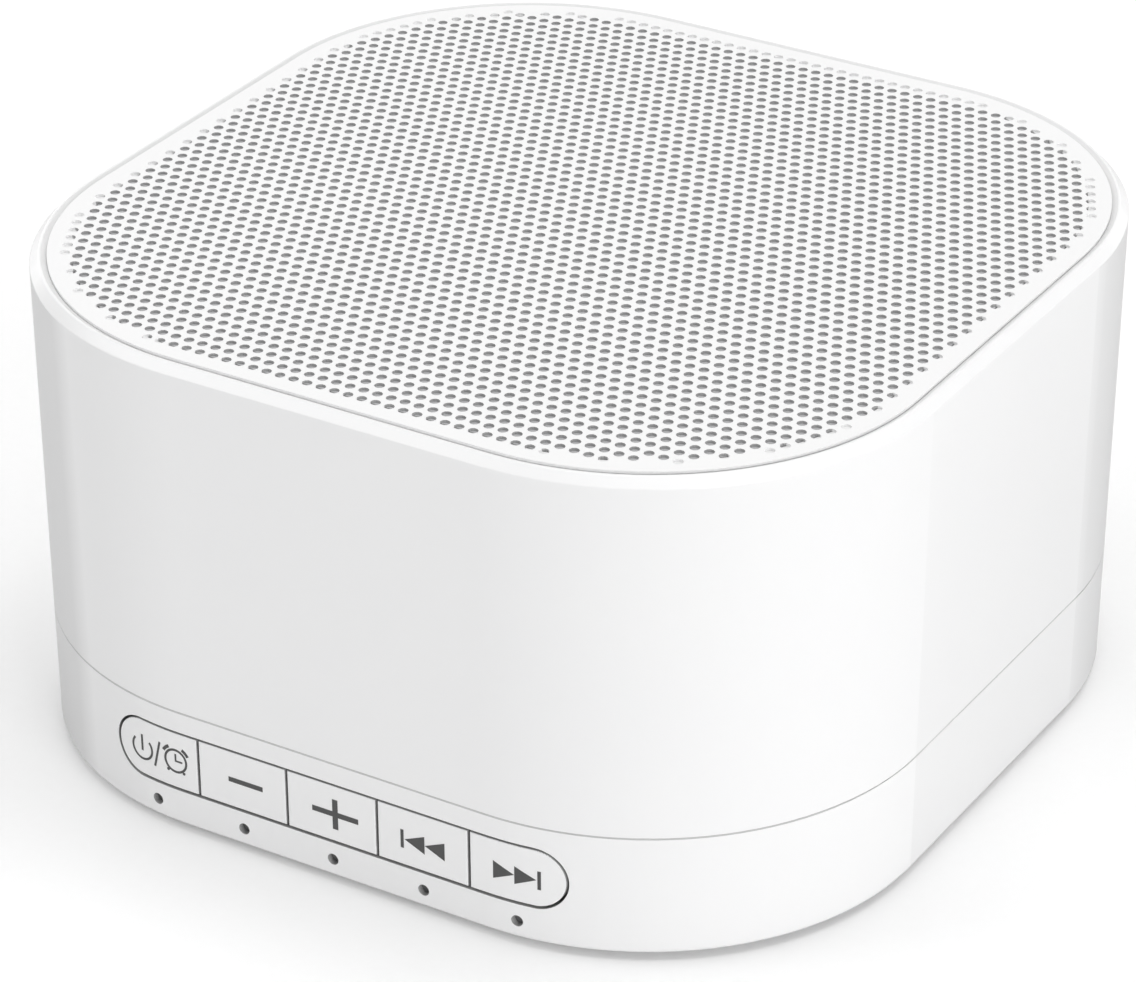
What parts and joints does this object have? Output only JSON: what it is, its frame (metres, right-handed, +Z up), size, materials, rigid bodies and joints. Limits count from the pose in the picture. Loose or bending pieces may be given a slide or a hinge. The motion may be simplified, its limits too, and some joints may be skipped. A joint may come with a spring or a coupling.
{
  "type": "white noise sound machine",
  "caption": "Palm-size rounded-square sound machine: perforated top over an upward speaker, spring-back push buttons low on the front with indicator lights beneath, power inlet at the back",
  "frame": {"origin": "on the table under the middle of the box, at the underside of the feet", "axes": "+Z is up, -Y is the front with the buttons, +Y is the back with the power inlet, +X is to the right as seen from the front"},
  "size_m": [0.1014, 0.1014, 0.0552],
  "materials": {
    "shell_plastic": "fine satin, moulded",
    "button_plastic": "satin, with printed grey symbols",
    "switch_black": "moulded",
    "grille_metal": "smooth white paint",
    "grille_fabric": "fine mid-grey acoustic cloth",
    "tape_white": "matt adhesive tape",
    "foot_rubber": "matt, pale grey",
    "screw_steel": "zinc plated",
    "board_green": "solder mask",
    "guide_white": "moulded",
    "clear_plastic": "clear moulding",
    "led_yellow": "clear resin over yellow phosphor",
    "socket_cream": "moulded nylon",
    "ribbon_grey": "flexible film",
    "can_aluminium": "bare can",
    "ferrite": "sintered ferrite",
    "inlet_steel": "nickel plated",
    "gasket_foam": "closed-cell foam",
    "basket_black": "black paint on pressed steel",
    "plated_steel": "zinc plated",
    "coil_copper": "lacquered copper",
    "cone_paper": "black pressed paper",
    "surround_rubber": "matt butyl rubber",
    "spider_cloth": "resin-dipped woven cloth",
    "terminal_brown": "phenolic board",
    "wire_red": "PVC insulation",
    "wire_black": "PVC insulation"
  },
  "bodies": {
    "housing": {"upper_shell": "shell_plastic", "lower_shell": "shell_plastic", "switch_bodies": "switch_black", "board_chips": "switch_black", "speaker_plug": "switch_black", "inlet_core": "switch_black", "grille": "grille_metal", "grille_cloth": "grille_fabric", "grille_tape": "tape_white", "feet": "foot_rubber", "shell_screws": "screw_steel", "plate_screws": "screw_steel", "board_screws": "screw_steel", "speaker_screws": "screw_steel", "main_board": "board_green", "button_board": "board_green", "button_guide": "guide_white", "speaker_plate": "guide_white", "light_pipe": "clear_plastic", "indicator_leds": "led_yellow", "speaker_socket": "socket_cream", "ribbon_sockets": "socket_cream", "ribbon_cable": "ribbon_grey", "capacitors": "can_aluminium", "magnet": "ferrite", "power_coil": "ferrite", "power_inlet": "inlet_steel", "speaker_gasket": "gasket_foam", "speaker_basket": "basket_black", "top_plate": "plated_steel", "yoke": "plated_steel", "speaker_lugs": "coil_copper", "speaker_surround": "surround_rubber", "spider": "spider_cloth", "terminal_board": "terminal_brown", "speaker_wire_red": "wire_red", "speaker_wire_black": "wire_black"},
    "power_button": {"power_button": "button_plastic", "power_switch_plunger": "switch_black"},
    "volume_down_button": {"volume_down_button": "button_plastic", "volume_down_switch_plunger": "switch_black"},
    "volume_up_button": {"volume_up_button": "button_plastic", "volume_up_switch_plunger": "switch_black"},
    "previous_button": {"previous_button": "button_plastic", "previous_switch_plunger": "switch_black"},
    "next_button": {"next_button": "button_plastic", "next_switch_plunger": "switch_black"},
    "cone_assembly": {"speaker_cone": "cone_paper", "voice_coil": "coil_copper", "dust_cap": "cone_paper"}
  },
  "joints": [
    {"name": "power_press", "type": "slide", "parent": "housing", "child": "power_button", "axis": [0, 1, 0], "range_m": [0, 0.0004], "stiffness_N_per_m": 2500},
    {"name": "volume_down_press", "type": "slide", "parent": "housing", "child": "volume_down_button", "axis": [0, 1, 0], "range_m": [0, 0.0004], "stiffness_N_per_m": 2500},
    {"name": "volume_up_press", "type": "slide", "parent": "housing", "child": "volume_up_button", "axis": [0, 1, 0], "range_m": [0, 0.0004], "stiffness_N_per_m": 2500},
    {"name": "previous_press", "type": "slide", "parent": "housing", "child": "previous_button", "axis": [0, 1, 0], "range_m": [0, 0.0004], "stiffness_N_per_m": 2500},
    {"name": "next_press", "type": "slide", "parent": "housing", "child": "next_button", "axis": [0, 1, 0], "range_m": [0, 0.0004], "stiffness_N_per_m": 2500},
    {"name": "cone_excursion", "type": "slide", "parent": "housing", "child": "cone_assembly", "axis": [0, 0, 1], "range_m": [-0.001, 0.001], "stiffness_N_per_m": 1500, "deforming": ["speaker_surround", "spider"]}
  ]
}
